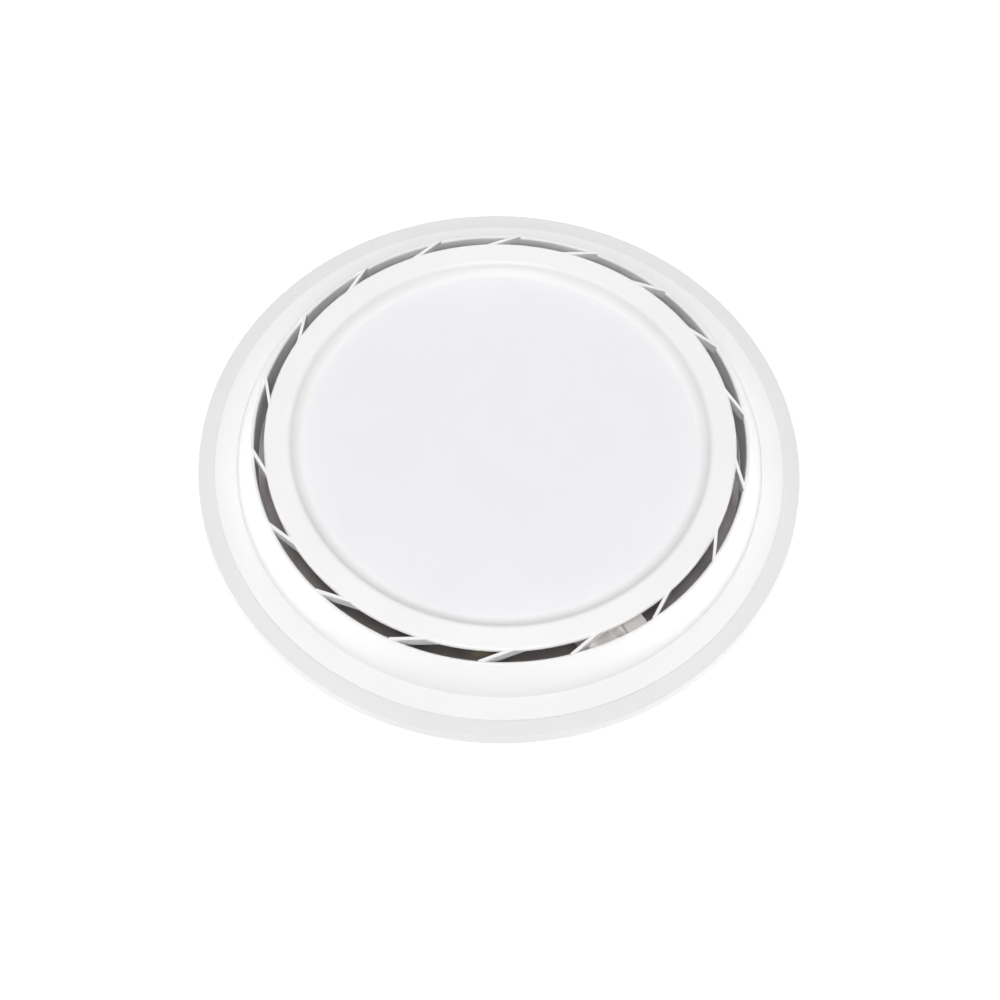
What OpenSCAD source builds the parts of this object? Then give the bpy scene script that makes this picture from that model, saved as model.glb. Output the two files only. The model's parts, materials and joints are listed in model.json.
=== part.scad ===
// Concealed pendent fire sprinkler head with a vented drop-away cover.
// Millimetres. The origin is on the sprinkler's axis at the face of the pipe fitting,
// +Z points up into the pipe, and the room is below.

/* [Ceiling trim] */
// Outside diameter of the flange plate
flange_d = 120; // [116:1:132]
// Depth of the flange plate's edge
flange_h = 2.3; // [2.2:0.1:3.2]
// Outside diameter of the white cover
cover_d = 113.3; // [112:0.1:114]
// How far the cover's rim stands below the ceiling
cover_h = 10.2; // [10:0.1:12]
// Diameter of the disc in the middle of the cover
disc_d = 92.4; // [90:0.2:93]
// Diameter of the dish's flat floor
dish_d = 77.4; // [74:0.2:80]
// Depth of the dish below the disc's rim
dish_depth = 2.3; // [1.5:0.1:2.6]
// Wall thickness of the disc
disc_wall = 1.8; // [1.5:0.1:2]

/* [Vent slot] */
// Width of the annular vent slot
slot_w = 1.9; // [1.6:0.1:2.4]
// Number of swirl vanes across the slot
vane_count = 18; // [12:1:24]
// Thickness of one vane
vane_t = 0.58; // [0.4:0.02:0.9]
// Depth of one vane
vane_depth = 2.4; // [1.2:0.1:2.4]
// Angle between a vane and the radius through it
vane_skew = 67; // [45:1:70]

/* [Sprinkler] */
// Distance from the pipe fitting's face to the ceiling
ceiling_drop = 52; // [52:1:58]
// Diameter over the inlet thread
thread_d = 21; // [20.4:0.1:21.4]
// Diameter of the orifice
orifice_d = 11.2; // [9:0.1:12]
// Diameter of the glass bulb
bulb_d = 3; // [2.5:0.5:3.5]
// Diameter of the deflector
deflector_d = 30; // [29:0.5:32]
// Number of slots in the deflector's edge
deflector_slots = 12; // [8:1:12]

/* [Support cup] */
// Outside diameter of the support cup
cup_d = 59; // [58.6:0.2:60]
// Thickness of the cup's steel
cup_wall = 1.2; // [0.8:0.1:1.2]

/* [Hidden] */
$fn = 96;
eps = 0.01;

// Heights of the sprinkler's parts
ceiling_z = -ceiling_drop;
inlet_z = 13;
thread_end_z = -2;
shoulder_z = -5;
collar_top_z = -9;
hex_end_z = -13;
collar_z = -23;
seat_z = -29;
frame_top_z = -17;
frame_arc_z = -42;
screw_top_z = -48.6;
deflector_z = -55.3;
deflector_t = 1.2;

// Inlet thread
thread_pitch = 1.81;
thread_depth = 1.1;
inlet_bore_r = 7.2;

// Sprinkler body and its frame
shoulder_r = 13;
spigot_r = 11;
hex_across_flats = 20;
snap_ring_t = 1.2;
collar_r = 10;
nozzle_r = 9;
frame_r = 12.5;
frame_window_r = 8.8;
frame_t = 5;
bridge_boss_r = 4.2;
bridge_z = -54.5;
screw_r = 2.5;

// Guide pins and their housing
pin_r = 1.1;
pin_angle = 33.7;
pin_pcr = 13;
pin_head_r = 1.9;
pin_head_t = 1.5;
pin_drop = 12;
housing_r = 16.5;
slide_fit = 0.05;
loose_fit = 0.3;

// Seal, cap and bulb
seal_r = 7.2;
cap_r = 6.8;
cap_z = -29.9;
bulb_top_z = -31.6;
bulb_bottom_z = -47.8;
bulb_wall = 0.35;
bulb_tip_r = 0.75;

// Cup, skirt and trim levels, measured down from the ceiling
cup_r = cup_d / 2;
cup_bottom_z = ceiling_z + 3;
cup_roof_z = shoulder_z - cup_wall;
snap_groove_r = spigot_r - 0.8;
skirt_r = cup_r - cup_wall - 0.4;
skirt_wall = 1;
skirt_top_z = ceiling_z + 28;
web_top = 0.8;
web_bottom = 2;
skirt_flange_bottom = 3;
rivet_r = 1.2;
rivet_pcr = 32;
gasket_inner_r = 47;

// Cover carrier, tabs and screws
carrier_top = 4.4;
carrier_t = 0.8;
carrier_inner_r = 30.5;
carrier_outer_r = 36;
screw_pcr = 40;
screw_angles = [30, 150, 270];
tab_pcr = 33.2;
tab_angles = [90, 210, 330];
pad_t = 0.4;

// Cover outline
flange_r = flange_d / 2;
cover_r = cover_d / 2;
cover_back = web_bottom + 0.1;
lip_r = cover_r - 1.4;
lip_h = flange_h + 0.03;
cover_edge = flange_h + 0.15;
foot_r = cover_r - 4.3;
foot_h = cover_edge + 0.3;
disc_r = disc_d / 2;
slot_r = disc_r + slot_w;
skirt_flange_r = slot_r - 0.3;
rim_h = cover_h - 0.5;
rim_round = 0.45;
shoulder_w = 4.1;
dish_h = cover_h - dish_depth;
vane_phase = 9.2;
vane_h = cover_h - 0.05;

// Ejection spring, in its own frame round spring_angle: x outwards, y along the strip
spring_angle = 234;
spring_t = 0.4;
spring_inner_r = 43.3;
spring_outer_r = slot_r - 0.4;
spring_top = skirt_flange_bottom + 0.05;
spring_crest = cover_h - disc_wall - 0.15;
spring_arm_h = spring_crest - 1.05;
spring_bend_h = spring_crest - 0.75;
spring_bend_y = 10.1;
spring_end_y = -0.8;
spring_tab_x0 = 40.4;
spring_tab_x1 = 44;
spring_root_y = -7.5;
spring_rivet_x = 42;
spring_rivet_y = -5.7;
spring_rivet_r = 0.8;

// Height of a level given as a distance below the ceiling
function below(h) = ceiling_z - h;

// Dish wall: slope where it leaves the floor, steepest slope, share of the width that is hollow
wall_angle_low = 12;
wall_angle_high = 60;
wall_hollow = 0.66;

// Points on an arc round [cx, cy] from angle a0 to a1
function arc(cx, cy, r, a0, a1, n = 8) =
    [for (i = [0 : n]) [cx + r * cos(a0 + (a1 - a0) * i / n), cy + r * sin(a0 + (a1 - a0) * i / n)]];

// Wall of the dish as [radius, height]: a crease at the floor, a hollow, then a tighter round shoulder
function dish_wall(steps) =
    let (a0 = wall_angle_low, a1 = wall_angle_high, w = disc_r - shoulder_w - dish_d / 2)
    let (hollow_r = wall_hollow * w / (sin(a1) - sin(a0)), crown_r = (1 - wall_hollow) * w / sin(a1))
    let (hollow = [for (i = [0 : steps]) let (a = a0 + (a1 - a0) * i / steps)
        hollow_r * [sin(a) - sin(a0), cos(a0) - cos(a)]])
    let (crown = [for (i = [1 : steps]) let (a = a1 - a1 * i / steps)
        hollow[steps] + crown_r * [sin(a1) - sin(a), cos(a) - cos(a1)]])
    let (stretch = dish_depth / crown[steps - 1][1])
    [for (p = concat(hollow, crown)) [dish_d / 2 + p[0], dish_h + stretch * p[1]]];

// Tube between two heights
module ring(r_out, r_in, z0, z1) {
    translate([0, 0, z0])
    difference() {
        cylinder(r = r_out, h = z1 - z0);
        translate([0, 0, -1]) cylinder(r = r_in, h = z1 - z0 + 2);
    }
}

// Solid round bar between two heights
module bar(r, z0, z1) {
    translate([0, 0, z0]) cylinder(r = r, h = z1 - z0);
}

// Puts a copy of the children at each angle on a circle of radius r
module spread(angles, r) {
    for (a = angles)
        rotate([0, 0, a])
        translate([r, 0, 0])
            children();
}

// U-shaped frame seen from the side: straight arms that run into a half-round bridge
module frame_outline() {
    difference() {
        union() {
            translate([-frame_r, frame_arc_z]) square([2 * frame_r, frame_top_z - frame_arc_z]);
            translate([0, frame_arc_z]) circle(r = frame_r);
        }
        translate([-frame_window_r, frame_arc_z]) square([2 * frame_window_r, seat_z - frame_arc_z]);
        translate([0, frame_arc_z]) circle(r = frame_window_r);
    }
}

module inlet_thread() {
    turns = floor((inlet_z - 1 - thread_end_z) / thread_pitch);
    crest = thread_pitch * 0.3;
    bar(thread_d / 2 - thread_depth, thread_end_z - eps, inlet_z);
    for (i = [0 : turns - 1])
        translate([0, 0, thread_end_z + i * thread_pitch])
        rotate_extrude()
            polygon([
                [thread_d / 2 - thread_depth - 1, 0],
                [thread_d / 2 - thread_depth, 0],
                [thread_d / 2, (thread_pitch - crest) / 2],
                [thread_d / 2, (thread_pitch + crest) / 2],
                [thread_d / 2 - thread_depth, thread_pitch],
                [thread_d / 2 - thread_depth - 1, thread_pitch]
            ]);
}

module sprinkler_body() {
    color("darkgoldenrod")
    difference() {
        union() {
            inlet_thread();
            // spigot through the cup, and the shoulder that carries the cup from below
            bar(spigot_r, cup_roof_z - eps, thread_end_z);
            bar(shoulder_r, collar_top_z, cup_roof_z);
            translate([0, 0, hex_end_z])
                cylinder(r = hex_across_flats / 2 / cos(30), h = collar_top_z - hex_end_z + eps, $fn = 6);
            bar(collar_r, collar_z, hex_end_z + eps);
            bar(nozzle_r, seat_z, collar_z + eps);
            translate([0, frame_t / 2, 0])
                rotate([90, 0, 0])
                linear_extrude(frame_t)
                frame_outline();
            bar(bridge_boss_r, bridge_z, frame_arc_z - frame_window_r + 0.6);
        }
        // waterway: wide inlet, then the orifice
        bar(orifice_d / 2, seat_z - 1, inlet_z + 1);
        bar(inlet_bore_r, hex_end_z, inlet_z + 1);
        // groove for the snap ring above the cup
        ring(spigot_r + 1, snap_groove_r, shoulder_z, shoulder_z + snap_ring_t + slide_fit);
        // thread hole for the load screw
        bar(screw_r, bridge_z - 1, frame_arc_z);
    }
}

module seal_washer() {
    color("silver")
    rotate_extrude()
        polygon([
            [seal_r, seat_z - 0.05],
            [seal_r, seat_z - 0.4],
            [orifice_d / 2 - 1.4, cap_z + 0.02],
            [orifice_d / 2 - 1.4, cap_z + 0.4]
        ]);
}

module orifice_cap() {
    color("goldenrod")
    difference() {
        union() {
            bar(cap_r, cap_z - 1.3, cap_z);
            bar(3.2, cap_z - 2.9, cap_z - 1.3 + eps);
        }
        bar(bulb_tip_r + 0.15, cap_z - 4, bulb_top_z + 0.2);
        translate([0, 0, cap_z - 2.9 - eps]) cylinder(r1 = 2, r2 = bulb_tip_r + 0.15, h = 1.2);
    }
}

// Half outline of the bulb, shrunk by s all round: round body, tapered ends, small tips
function bulb_outline(s) = [
    [0, bulb_bottom_z + s],
    [bulb_tip_r - s, bulb_bottom_z + s],
    [bulb_tip_r - s, bulb_bottom_z + 0.9],
    [bulb_d / 2 - s, bulb_bottom_z + 3.2],
    [bulb_d / 2 - s, bulb_top_z - 3.2],
    [bulb_tip_r - s, bulb_top_z - 0.9],
    [bulb_tip_r - s, bulb_top_z - s],
    [0, bulb_top_z - s]
];

module glass_bulb() {
    color("lightcyan", 0.4)
    rotate_extrude($fn = 48)
        difference() {
            polygon(bulb_outline(0));
            polygon(bulb_outline(bulb_wall));
        }
}

module bulb_liquid() {
    bubble_z = bulb_top_z - 5;
    color("red")
    difference() {
        rotate_extrude($fn = 48) polygon(bulb_outline(bulb_wall + 0.02));
        translate([0, 0, bubble_z]) cylinder(r = bulb_d, h = 10);
    }
}

module bulb_seat() {
    color("goldenrod")
    difference() {
        bar(2.4, screw_top_z + 0.05, bulb_bottom_z + 1.2);
        bar(bulb_tip_r + 0.15, bulb_bottom_z, bulb_bottom_z + 2);
        translate([0, 0, bulb_bottom_z + 0.5]) cylinder(r1 = bulb_tip_r + 0.15, r2 = 1.7, h = 0.8);
    }
}

module load_screw() {
    slot = 0.9;
    color("goldenrod")
    difference() {
        bar(screw_r - slide_fit, bridge_z + 0.4, screw_top_z);
        translate([-screw_r, -slot / 2, bridge_z - 1]) cube([2 * screw_r, slot, 2.6]);
    }
}

module guide_housing() {
    arm_gap = 0.3;
    color("peru")
    difference() {
        ring(housing_r, nozzle_r + slide_fit, seat_z, collar_z);
        translate([-frame_r - arm_gap, -frame_t / 2 - arm_gap, seat_z - 1])
            cube([2 * (frame_r + arm_gap), frame_t + 2 * arm_gap, collar_z - seat_z + 2]);
        spread([pin_angle, pin_angle + 180], pin_pcr)
            bar(pin_r + slide_fit, seat_z - 1, collar_z + 1);
        // relief that lets the outer wall spring over the nozzle
        ring(housing_r + 1, housing_r - 1.2, seat_z - eps, seat_z + 1.5);
    }
}

module guide_pins() {
    head_z = collar_z + pin_drop + 0.1;
    color("lightsteelblue")
    spread([pin_angle, pin_angle + 180], pin_pcr) {
        bar(pin_r, deflector_z, head_z + eps);
        bar(pin_head_r, head_z, head_z + pin_head_t);
        bar(0.8, deflector_z - deflector_t - eps, deflector_z + eps);
        bar(1.6, deflector_z - deflector_t - 0.8, deflector_z - deflector_t);
    }
}

module deflector() {
    slot_angles = [for (i = [0 : deflector_slots - 1]) pin_angle + (i + 0.5) * 360 / deflector_slots];
    slot_half = 0.9;
    slot_root_r = 9.5;
    color("peru")
    translate([0, 0, deflector_z - deflector_t])
    difference() {
        cylinder(r = deflector_d / 2, h = deflector_t);
        translate([0, 0, -1]) cylinder(r = 3.4, h = deflector_t + 2);
        spread(slot_angles, slot_root_r)
            translate([0, -slot_half, -1]) cube([deflector_d, 2 * slot_half, deflector_t + 2]);
        spread(slot_angles, slot_root_r)
            translate([0, 0, -1]) cylinder(r = slot_half, h = deflector_t + 2, $fn = 24);
        spread([pin_angle, pin_angle + 180], pin_pcr)
            translate([0, 0, -1]) cylinder(r = 0.85, h = deflector_t + 2, $fn = 24);
    }
}

module support_cup() {
    bead_pitch = 4;
    bead_h = 0.5;
    vent_r = 3;
    round_r = 3;
    color("gainsboro")
    difference() {
        rotate_extrude($fn = 128)
            polygon(concat(
                [[spigot_r + slide_fit, shoulder_z]],
                arc(cup_r - round_r, shoulder_z - round_r, round_r, 90, 0),
                [for (i = [0 : 3]) each [
                    [cup_r, cup_bottom_z + 3 + (3 - i) * bead_pitch + 1.6],
                    [cup_r + bead_h, cup_bottom_z + 3 + (3 - i) * bead_pitch + 1.1],
                    [cup_r + bead_h, cup_bottom_z + 3 + (3 - i) * bead_pitch + 0.5],
                    [cup_r, cup_bottom_z + 3 + (3 - i) * bead_pitch]
                ]],
                [
                    [cup_r, cup_bottom_z + cup_wall],
                    [cup_r + 2, cup_bottom_z + cup_wall],
                    [cup_r + 2, cup_bottom_z],
                    [cup_r - cup_wall, cup_bottom_z]
                ],
                [for (i = [0 : 3]) each [
                    [cup_r - cup_wall, cup_bottom_z + 3 + i * bead_pitch + 0.2],
                    [cup_r - cup_wall + bead_h, cup_bottom_z + 3 + i * bead_pitch + 0.6],
                    [cup_r - cup_wall + bead_h, cup_bottom_z + 3 + i * bead_pitch + 1],
                    [cup_r - cup_wall, cup_bottom_z + 3 + i * bead_pitch + 1.4]
                ]],
                arc(cup_r - round_r, shoulder_z - round_r, round_r - cup_wall, 0, 90),
                [[spigot_r + slide_fit, cup_roof_z]]
            ));
        spread([0, 90, 180, 270], 20.5)
            bar(vent_r, cup_roof_z - 1, shoulder_z + 1);
    }
}

module cup_retaining_ring() {
    gap = 36;
    ring_w = 3.2;
    color("silver")
    translate([0, 0, shoulder_z])
    rotate([0, 0, 90 + gap / 2])
    rotate_extrude(angle = 360 - gap)
        translate([snap_groove_r + slide_fit, 0]) square([ring_w, snap_ring_t]);
}

module retainer_skirt() {
    finger_slots = 6;
    finger_depth = 14;
    start_w = 26;
    start_h = 0.9;
    color("tan") {
        difference() {
            union() {
                ring(skirt_r, skirt_r - skirt_wall, below(skirt_flange_bottom), skirt_top_z);
                ring(skirt_flange_r, skirt_r - eps, below(skirt_flange_bottom), below(web_bottom));
                // three short thread starts that ride in the cup's beads
                for (i = [0 : 2])
                    rotate([0, 0, i * 120 + 10])
                    translate([0, 0, skirt_top_z - 8 - i * 1.3])
                    rotate_extrude(angle = start_w)
                        polygon([
                            [skirt_r - 0.5, 0],
                            [skirt_r + 0.2, start_h * 0.3],
                            [skirt_r + 0.2, start_h * 0.7],
                            [skirt_r - 0.5, start_h]
                        ]);
            }
            spread([for (i = [0 : finger_slots - 1]) i * 360 / finger_slots], skirt_r)
                translate([-2, -0.75, skirt_top_z - finger_depth]) cube([4, 1.5, finger_depth + 1]);
            spread(screw_angles, rivet_pcr)
                bar(rivet_r, below(skirt_flange_bottom + 1), below(web_bottom - 1));
            rotate([0, 0, spring_angle])
            translate([spring_rivet_x, spring_rivet_y, 0])
                bar(spring_rivet_r + 0.02, below(skirt_flange_bottom + 1), below(web_bottom - 1));
        }
    }
}

module skirt_rivets() {
    head_r = 2.1;
    color("silver")
    spread(screw_angles, rivet_pcr) {
        bar(rivet_r - 0.02, below(skirt_flange_bottom + eps), below(web_top - eps));
        bar(head_r, below(skirt_flange_bottom + 0.7), below(skirt_flange_bottom));
        bar(head_r, below(web_top), below(0.15));
    }
}

module base_plate() {
    edge_round = 0.3;
    seat_r = lip_r + 0.1;
    recess_r = cover_r - 0.3;
    color("gainsboro")
    difference() {
        rotate_extrude($fn = 180)
            polygon(concat(
                [
                    [flange_r + 0.2, below(0)],
                    [flange_r, below(flange_h - edge_round)]
                ],
                arc(flange_r - edge_round, below(flange_h - edge_round), edge_round, -20, -80, 3),
                [
                    [seat_r, below(flange_h)],
                    [seat_r, below(web_bottom)],
                    [skirt_r + slide_fit, below(web_bottom)],
                    [skirt_r + slide_fit, below(web_top)],
                    [recess_r, below(web_top)],
                    [recess_r, below(0)]
                ]
            ));
        spread(screw_angles, rivet_pcr)
            bar(rivet_r, below(web_bottom + 1), below(web_top - 1));
        rotate([0, 0, spring_angle])
        translate([spring_rivet_x, spring_rivet_y, 0])
            bar(spring_rivet_r + 0.02, below(web_bottom + 1), below(web_top - 1));
    }
}

module ceiling_gasket() {
    color("dimgray")
    ring(cover_r - 0.6, gasket_inner_r, below(web_top), below(0));
}

module spring_rivet() {
    head_r = 1.4;
    arm_bottom = spring_top + spring_t + 0.02;
    color("silver")
    rotate([0, 0, spring_angle])
    translate([spring_rivet_x, spring_rivet_y, 0]) {
        bar(spring_rivet_r, below(arm_bottom + eps), below(web_top - eps));
        bar(head_r, below(arm_bottom + 0.6), below(arm_bottom));
        bar(head_r, below(web_top), below(web_top - 0.5));
    }
}

// The strip seen edge on, y along the strip and z up: base arm, half-round bend, waved upper arm
module spring_outline() {
    mid_h = (spring_top + spring_bend_h) / 2;
    bend_r = (spring_bend_h - spring_top) / 2;
    wave = [
        [spring_end_y, spring_arm_h],
        [3.3, spring_arm_h],
        [3.6, spring_arm_h + 0.3],
        [3.9, spring_crest - 0.2],
        [4.2, spring_crest],
        [4.5, spring_crest - 0.2],
        [5, spring_crest - 1.15],
        [5.5, spring_crest - 1.8],
        [6, spring_crest - 2.05],
        [6.7, spring_crest - 1.9],
        [7.7, spring_crest - 1.45],
        [8.8, spring_crest - 1.05],
        [9.6, spring_bend_h - 0.05],
        [spring_bend_y, spring_bend_h]
    ];
    last = len(wave) - 1;
    translate([0, below(spring_top + spring_t)])
        square([spring_bend_y, spring_t]);
    intersection() {
        difference() {
            translate([spring_bend_y, below(mid_h)]) circle(r = bend_r);
            translate([spring_bend_y, below(mid_h)]) circle(r = bend_r - spring_t);
        }
        translate([spring_bend_y, below(spring_bend_h + 1)]) square([bend_r + 1, spring_bend_h + 1]);
    }
    polygon(concat(
        [for (p = wave) [p[0], below(p[1])]],
        [for (i = [last : -1 : 0]) [wave[i][0], below(wave[i][1] - spring_t)]]
    ));
}

module ejection_spring() {
    color("lightgray")
    rotate([0, 0, spring_angle])
    difference() {
        union() {
            intersection() {
                translate([spring_inner_r - 3, 0, 0])
                    rotate([90, 0, 90])
                    linear_extrude(spring_outer_r - spring_inner_r + 4)
                    spring_outline();
                ring(spring_outer_r, spring_inner_r, below(spring_crest + 1), below(spring_top - 1));
            }
            translate([spring_tab_x0, spring_root_y, below(spring_top + spring_t)])
                cube([spring_tab_x1 - spring_tab_x0, 4 - spring_root_y, spring_t]);
        }
        translate([spring_rivet_x, spring_rivet_y, 0])
            bar(spring_rivet_r + 0.02, below(spring_top + spring_t + 1), below(spring_top - 1));
    }
}

module cover_carrier() {
    ear_w = 7;
    color("darkkhaki")
    difference() {
        union() {
            ring(carrier_outer_r, carrier_inner_r, below(carrier_top + carrier_t), below(carrier_top));
            intersection() {
                spread(screw_angles, carrier_outer_r - 2)
                    translate([0, -ear_w / 2, below(carrier_top + carrier_t)])
                    cube([screw_pcr - carrier_outer_r + 6, ear_w, carrier_t]);
                bar(screw_pcr + 3, below(carrier_top + carrier_t), below(carrier_top));
            }
        }
        spread(screw_angles, screw_pcr)
            bar(1.1, below(carrier_top + carrier_t + 1), below(carrier_top - 1));
    }
}

module carrier_screws() {
    head_t = 1.1;
    color("silver")
    spread(screw_angles, screw_pcr)
    difference() {
        union() {
            bar(2, below(carrier_top), below(carrier_top - head_t));
            bar(1, below(carrier_top + carrier_t + 1.7), below(carrier_top - eps));
        }
        for (a = [0, 90])
            rotate([0, 0, a])
            translate([-1.2, -0.25, below(carrier_top - head_t + 0.5)]) cube([2.4, 0.5, 1]);
    }
}

module solder_tabs() {
    tab_w = 6;
    color("chocolate")
    spread(tab_angles, tab_pcr)
        translate([-2, -tab_w / 2, below(carrier_top)])
        cube([4, tab_w, carrier_top - skirt_flange_bottom - pad_t]);
}

module solder_pads() {
    pad_w = 5;
    color("slategray")
    spread(tab_angles, tab_pcr)
        translate([-1.5, -pad_w / 2, below(skirt_flange_bottom + pad_t)]) cube([3, pad_w, pad_t]);
}

// Stepped ring: thin lip over the flange plate, flat band, cone up to the rim, straight inner wall
module cover_ring() {
    rotate_extrude($fn = 180)
        polygon(concat(
            [
                [slot_r, below(cover_back)],
                [lip_r, below(cover_back)],
                [lip_r, below(lip_h)],
                [cover_r, below(lip_h)],
                [cover_r, below(cover_edge - 0.03)],
                [cover_r - 0.03, below(cover_edge)],
                [foot_r, below(foot_h)],
                [slot_r + 2 * rim_round + 0.05, below(rim_h - rim_round)]
            ],
            arc(slot_r + rim_round, below(rim_h - rim_round), rim_round, -30, -180, 5)
        ));
}

// Dished disc: flat floor, creased wall up to a rounded rim, even thickness
module cover_disc() {
    wall = dish_wall(8);
    last = len(wall) - 1;
    edge_r = 0.6;
    back_shift = 0.5;
    rotate_extrude($fn = 180)
        polygon(concat(
            [[0, below(dish_h)]],
            [for (p = wall) [p[0], below(p[1])]],
            arc(disc_r - edge_r, below(cover_h - edge_r), edge_r, -90, 0, 6),
            [
                [disc_r - 0.9, below(cover_h - disc_wall + 0.35)],
                [disc_r - 1.5, below(cover_h - disc_wall)]
            ],
            [for (i = [last : -2 : 0]) [wall[i][0] + back_shift, below(wall[i][1] - disc_wall)]],
            [[0, below(dish_h - disc_wall)]]
        ));
}

// Slanted ribs across the slot; their inner ends run on behind the disc's rim
module vanes() {
    outer_embed = 0.3;
    inner_embed = 1.3;
    mid_r = disc_r + slot_w / 2;
    run_out = (slot_w / 2 + outer_embed) / cos(vane_skew);
    run_in = 1.5 * (slot_w / 2 + inner_embed) / cos(vane_skew);
    intersection() {
        ring(slot_r + outer_embed, disc_r - inner_embed, below(vane_h), below(vane_h - vane_depth));
        spread([for (i = [0 : vane_count - 1]) vane_phase + i * 360 / vane_count], mid_r)
            rotate([0, 0, vane_skew])
            translate([-run_in, -vane_t / 2, below(cover_h + 1)])
            cube([run_in + run_out, vane_t, cover_h]);
    }
}

module vent_cover() {
    boss_r = 3;
    rest_h = ceiling_z - deflector_z + deflector_t + 0.1;
    color("white")
    difference() {
        union() {
            cover_ring();
            cover_disc();
            vanes();
            // bosses for the carrier's screws
            spread(screw_angles, screw_pcr)
                bar(boss_r, below(dish_h - disc_wall + 0.9), below(carrier_top + carrier_t));
            // low collar under the deflector
            ring(7, 5, below(dish_h - disc_wall + eps), below(rest_h));
        }
        spread(screw_angles, screw_pcr)
            bar(1.02, below(carrier_top + carrier_t + 1.9), below(carrier_top));
    }
}

sprinkler_body();
seal_washer();
orifice_cap();
glass_bulb();
bulb_liquid();
bulb_seat();
load_screw();
guide_housing();
guide_pins();
deflector();
support_cup();
cup_retaining_ring();
retainer_skirt();
skirt_rivets();
base_plate();
ceiling_gasket();
spring_rivet();
ejection_spring();
cover_carrier();
carrier_screws();
solder_tabs();
solder_pads();
vent_cover();
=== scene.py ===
"""Looks of the concealed fire sprinkler head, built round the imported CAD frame."""
import json
import math

import bpy
from mathutils import Matrix, Vector


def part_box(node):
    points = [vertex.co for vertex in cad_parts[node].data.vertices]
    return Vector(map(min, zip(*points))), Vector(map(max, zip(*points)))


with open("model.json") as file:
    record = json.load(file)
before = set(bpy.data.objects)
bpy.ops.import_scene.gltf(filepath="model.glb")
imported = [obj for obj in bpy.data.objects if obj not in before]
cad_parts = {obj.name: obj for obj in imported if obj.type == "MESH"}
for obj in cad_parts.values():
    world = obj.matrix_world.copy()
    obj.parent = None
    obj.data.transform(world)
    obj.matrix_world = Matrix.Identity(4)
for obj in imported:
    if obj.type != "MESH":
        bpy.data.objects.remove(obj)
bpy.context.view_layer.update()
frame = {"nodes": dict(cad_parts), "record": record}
nodes = frame["nodes"]

# ---------------------------------------------------------------- driving dimensions
base_low, base_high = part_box("base_plate")
BACK_EDGE_RATIO = 1.0033    # the flange's back edge over its front edge
R = (base_high.x - base_low.x) / 2 / BACK_EDGE_RATIO
CEILING = base_high.z
COVER_CENTRE = Vector((0, 0, CEILING))
MM = 0.001


# ---------------------------------------------------------------- camera
def make_camera():
    """Below the ceiling, looking up at the cover; distances are in flange radii, angles in radians."""
    distance = 5 * R
    elevation = 1.045
    roll = -0.0449
    aim_x = -0.0063 * R
    aim_y = -0.1619 * R
    lens = 53.59
    eye = Vector((0, -distance * math.cos(elevation), CEILING - distance * math.sin(elevation)))
    target = Vector((aim_x, aim_y, CEILING))
    look = (target - eye).normalized()
    right = look.cross(Vector((0, 0, -1))).normalized()
    down = look.cross(right)
    image_right = right * math.cos(roll) + down * math.sin(roll)
    image_down = down * math.cos(roll) - right * math.sin(roll)
    data = bpy.data.cameras.new("camera")
    data.lens = lens
    data.sensor_width = 36
    data.clip_start = 0.01
    camera = bpy.data.objects.new("camera", data)
    axes = Matrix((image_right, -image_down, -look)).transposed().to_4x4()
    camera.matrix_world = Matrix.Translation(eye) @ axes
    bpy.context.scene.collection.objects.link(camera)
    bpy.context.scene.camera = camera


make_camera()


# ---------------------------------------------------------------- materials
def new_material(name, color, roughness, metallic=0.0, **sockets):
    """A Principled material; extra sockets are named with underscores for spaces."""
    material = bpy.data.materials.new(name)
    material.use_nodes = True
    shader = material.node_tree.nodes["Principled BSDF"]
    shader.inputs["Base Color"].default_value = (*color, 1)
    shader.inputs["Roughness"].default_value = roughness
    shader.inputs["Metallic"].default_value = metallic
    for socket, value in sockets.items():
        shader.inputs[socket.replace("_", " ")].default_value = value
    return material


def add_detail(material, color, spread, scale, rough, rough_spread, bump_scale, bump):
    """Mottled colour, uneven gloss and a fine surface grain from object-space noise."""
    ramp_low = 0.3
    ramp_high = 0.7
    grain_depth = 0.1 * MM
    tree = material.node_tree
    shader = tree.nodes["Principled BSDF"]
    place = tree.nodes.new("ShaderNodeTexCoord")
    noise = tree.nodes.new("ShaderNodeTexNoise")
    noise.inputs["Scale"].default_value = scale
    noise.inputs["Detail"].default_value = 5
    tree.links.new(place.outputs["Object"], noise.inputs["Vector"])
    ramp = tree.nodes.new("ShaderNodeValToRGB")
    dark = [c * (1 - spread) for c in color]
    light = [min(1, c * (1 + spread)) for c in color]
    ramp.color_ramp.elements[0].position = ramp_low
    ramp.color_ramp.elements[0].color = (*dark, 1)
    ramp.color_ramp.elements[1].position = ramp_high
    ramp.color_ramp.elements[1].color = (*light, 1)
    tree.links.new(noise.outputs["Fac"], ramp.inputs["Fac"])
    tree.links.new(ramp.outputs["Color"], shader.inputs["Base Color"])
    span = tree.nodes.new("ShaderNodeMapRange")
    span.inputs["To Min"].default_value = rough - rough_spread
    span.inputs["To Max"].default_value = rough + rough_spread
    tree.links.new(noise.outputs["Fac"], span.inputs["Value"])
    tree.links.new(span.outputs["Result"], shader.inputs["Roughness"])
    grain = tree.nodes.new("ShaderNodeTexNoise")
    grain.inputs["Scale"].default_value = bump_scale
    grain.inputs["Detail"].default_value = 3
    tree.links.new(place.outputs["Object"], grain.inputs["Vector"])
    relief = tree.nodes.new("ShaderNodeBump")
    relief.inputs["Strength"].default_value = bump
    relief.inputs["Distance"].default_value = grain_depth
    tree.links.new(grain.outputs["Fac"], relief.inputs["Height"])
    tree.links.new(relief.outputs["Normal"], shader.inputs["Normal"])
    return material


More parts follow.
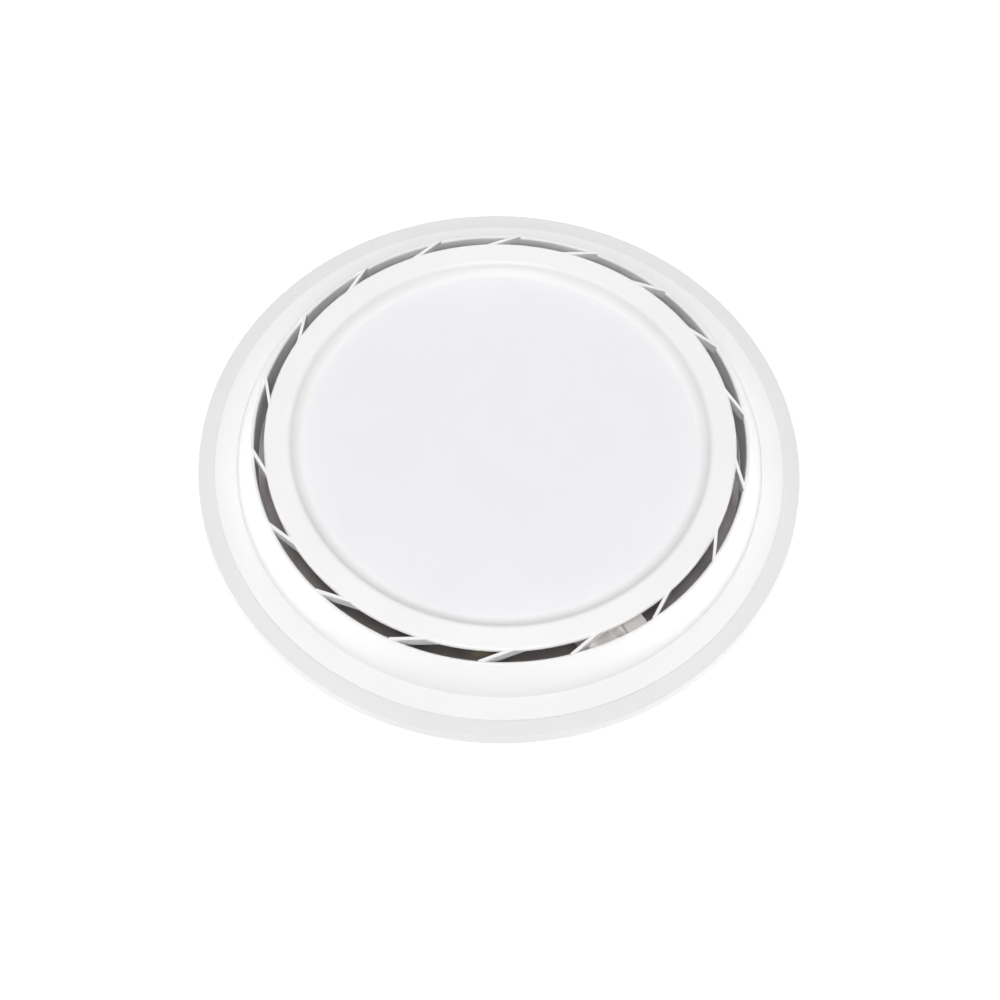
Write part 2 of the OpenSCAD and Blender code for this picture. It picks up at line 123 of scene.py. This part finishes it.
def moulding(name, color, roughness):
    """Satin plastic, nearly even in colour."""
    material = new_material(name, color, roughness)
    return add_detail(material, color, spread=0.012, scale=60, rough=roughness, rough_spread=0.05,
                      bump_scale=2600, bump=0.12)


def tint_and_paint_light_in_discs(material, zones):
    """Multiply the colour within each radius of the sprinkler's axis, painting light and shade as well as
    tint; zones hold radius, blend and colour factor.
    """
    tree = material.node_tree
    shader = tree.nodes["Principled BSDF"]
    place = tree.nodes.new("ShaderNodeTexCoord")
    flat = tree.nodes.new("ShaderNodeVectorMath")
    flat.operation = "MULTIPLY"
    flat.inputs[1].default_value = (1, 1, 0)
    tree.links.new(place.outputs["Object"], flat.inputs[0])
    reach = tree.nodes.new("ShaderNodeVectorMath")
    reach.operation = "LENGTH"
    tree.links.new(flat.outputs["Vector"], reach.inputs[0])
    # Each zone's factor multiplies in painted light and shade along with its tint
    for radius, blend, tint_and_light in zones:
        inside = tree.nodes.new("ShaderNodeMapRange")
        inside.inputs["From Min"].default_value = (radius + blend) * MM
        inside.inputs["From Max"].default_value = (radius - blend) * MM
        tree.links.new(reach.outputs["Value"], inside.inputs["Value"])
        mix = tree.nodes.new("ShaderNodeMixRGB")
        mix.blend_type = "MULTIPLY"
        source = shader.inputs["Base Color"].links[0].from_socket
        tree.links.new(inside.outputs["Result"], mix.inputs["Fac"])
        tree.links.new(source, mix.inputs["Color1"])
        mix.inputs["Color2"].default_value = (*tint_and_light, 1)
        tree.links.new(mix.outputs["Color"], shader.inputs["Base Color"])
    return material


def metal(name, color, roughness, spread=0.08):
    """Cast, turned or pressed metal with slightly clouded gloss."""
    material = new_material(name, color, roughness, metallic=1.0)
    return add_detail(material, color, spread=spread, scale=180, rough=roughness, rough_spread=0.08,
                      bump_scale=1500, bump=0.25)


def spring_strip(name, color, roughness):
    """Tumbled stainless strip: paler and duller than polished metal."""
    material = new_material(name, color, roughness, metallic=0.35)
    return add_detail(material, color, spread=0.04, scale=260, rough=roughness, rough_spread=0.08,
                      bump_scale=1800, bump=0.2)


def glass(name, color, roughness):
    """Clear or tinted glass with a trace of waviness."""
    material = new_material(name, color, roughness, Transmission_Weight=1.0, IOR=1.45)
    return add_detail(material, color, spread=0.01, scale=120, rough=roughness, rough_spread=roughness / 2,
                      bump_scale=900, bump=0.03)


# Radius and blend in mm, then the colour factor: the disc is painted a little brighter than its ring, a
# painted highlight; the dish's floor is a little cooler in tint and a little darker, the darkening partly
# its own colour and partly painted shade
COVER_TINT_AND_PAINTED_LIGHT_ZONES = [
    (47.2, 0.15, (1.045, 1.045, 1.045)),
    (38.75, 0.15, (0.935, 0.93, 0.965)),
]

# One material for each material slot of the record
MATERIALS = {
    # The white cover's disc carries a painted highlight and its dish floor partly painted shade
    "white_cover": tint_and_paint_light_in_discs(moulding("white_moulding", (0.865, 0.86, 0.858), 0.42), COVER_TINT_AND_PAINTED_LIGHT_ZONES),
    "grey_flange": moulding("grey_moulding", (0.765, 0.763, 0.765), 0.45),
    "brass_body": metal("cast_brass", (0.62, 0.44, 0.2), 0.35),
    "brass_skirt": metal("sheet_brass", (0.68, 0.52, 0.26), 0.3),
    # The skirt seen through the slot is darker and warmer than plain plating: partly its own colour, partly
    # painted shade
    "skirt_steel": metal("skirt_steel_with_painted_shade", (0.42, 0.39, 0.39), 0.45),
    "bronze": metal("bronze", (0.55, 0.35, 0.2), 0.33),
    "copper_tab": metal("copper", (0.72, 0.38, 0.25), 0.3),
    "solder": metal("solder", (0.55, 0.56, 0.57), 0.45),
    "cup_steel": metal("zinc_plated_steel", (0.6, 0.61, 0.62), 0.38, spread=0.04),
    "pin_steel": metal("stainless_steel", (0.65, 0.65, 0.66), 0.2),
    "spring_steel": spring_strip("spring_strip", (0.8, 0.77, 0.76), 0.45),
    "fastener_steel": metal("plated_steel", (0.7, 0.7, 0.71), 0.3),
    "seal_coating": moulding("fluoropolymer", (0.1, 0.16, 0.15), 0.5),
    "bulb_glass": glass("bulb_glass", (0.97, 1.0, 1.0), 0.02),
    "bulb_fluid": glass("bulb_fluid", (0.8, 0.02, 0.015), 0.05),
    "foam": moulding("closed_cell_foam", (0.05, 0.05, 0.055), 0.9),
}


def finish_nodes():
    """Give every CAD node the material of its slot."""
    for entry in frame["record"]["subparts"]:
        piece = nodes[entry["node"]]
        piece.data.materials.clear()
        piece.data.materials.append(MATERIALS[entry["material_slot"]])


finish_nodes()


# ---------------------------------------------------------------- room and light
def make_floor():
    """A plain pale floor well below the camera."""
    drop = 0.9
    radius = 0.55
    place = (0, 0, CEILING - drop)
    bpy.ops.mesh.primitive_circle_add(vertices=96, radius=radius, fill_type="NGON", location=place)
    floor = bpy.context.object
    floor.name = "floor"
    floor.data.materials.append(new_material("floor", (0.8, 0.8, 0.8), 0.7))


def soft_light(name, direction, size, power):
    """A rectangular light in a direction from the cover, turned towards it and hidden from the camera."""
    distance = 0.8
    data = bpy.data.lights.new(name, "AREA")
    data.shape = "RECTANGLE"
    data.size, data.size_y = size
    data.energy = power
    light = bpy.data.objects.new(name, data)
    light.location = COVER_CENTRE + Vector(direction).normalized() * distance
    light.rotation_euler = (COVER_CENTRE - light.location).to_track_quat("-Z", "Y").to_euler()
    light.visible_camera = False
    bpy.context.scene.collection.objects.link(light)


# Name, direction from the cover, size in metres, power in watts
LIGHTS = [
    ("key", (0, -0.35, -0.94), (0.12, 0.4), 1.6),
    ("front", (0, -0.66, -0.75), (0.2, 0.3), 1.95),
    ("far", (0, 0.72, -0.69), (0.16, 0.3), 1.0),
    ("right", (0.95, -0.1, 0.12), (0.7, 0.2), 3.2),
    ("left", (-0.95, -0.1, 0.12), (0.7, 0.2), 3.2),
]


def make_world(above, below):
    """White above the horizon, grey below it, with a short blend between."""
    blend = 0.1
    world = bpy.data.worlds.new("studio")
    bpy.context.scene.world = world
    world.use_nodes = True
    tree = world.node_tree
    place = tree.nodes.new("ShaderNodeTexCoord")
    split = tree.nodes.new("ShaderNodeSeparateXYZ")
    tree.links.new(place.outputs["Generated"], split.inputs["Vector"])
    span = tree.nodes.new("ShaderNodeMapRange")
    span.inputs["From Min"].default_value = -blend
    span.inputs["From Max"].default_value = blend
    span.inputs["To Min"].default_value = below
    span.inputs["To Max"].default_value = above
    tree.links.new(split.outputs["Z"], span.inputs["Value"])
    background = tree.nodes["Background"]
    tree.links.new(span.outputs["Result"], background.inputs["Strength"])
    background.inputs["Color"].default_value = (1, 1, 1, 1)


make_floor()
for light_row in LIGHTS:
    soft_light(*light_row)
make_world(above=1.1, below=0.19)
bpy.context.scene.view_settings.view_transform = "Standard"
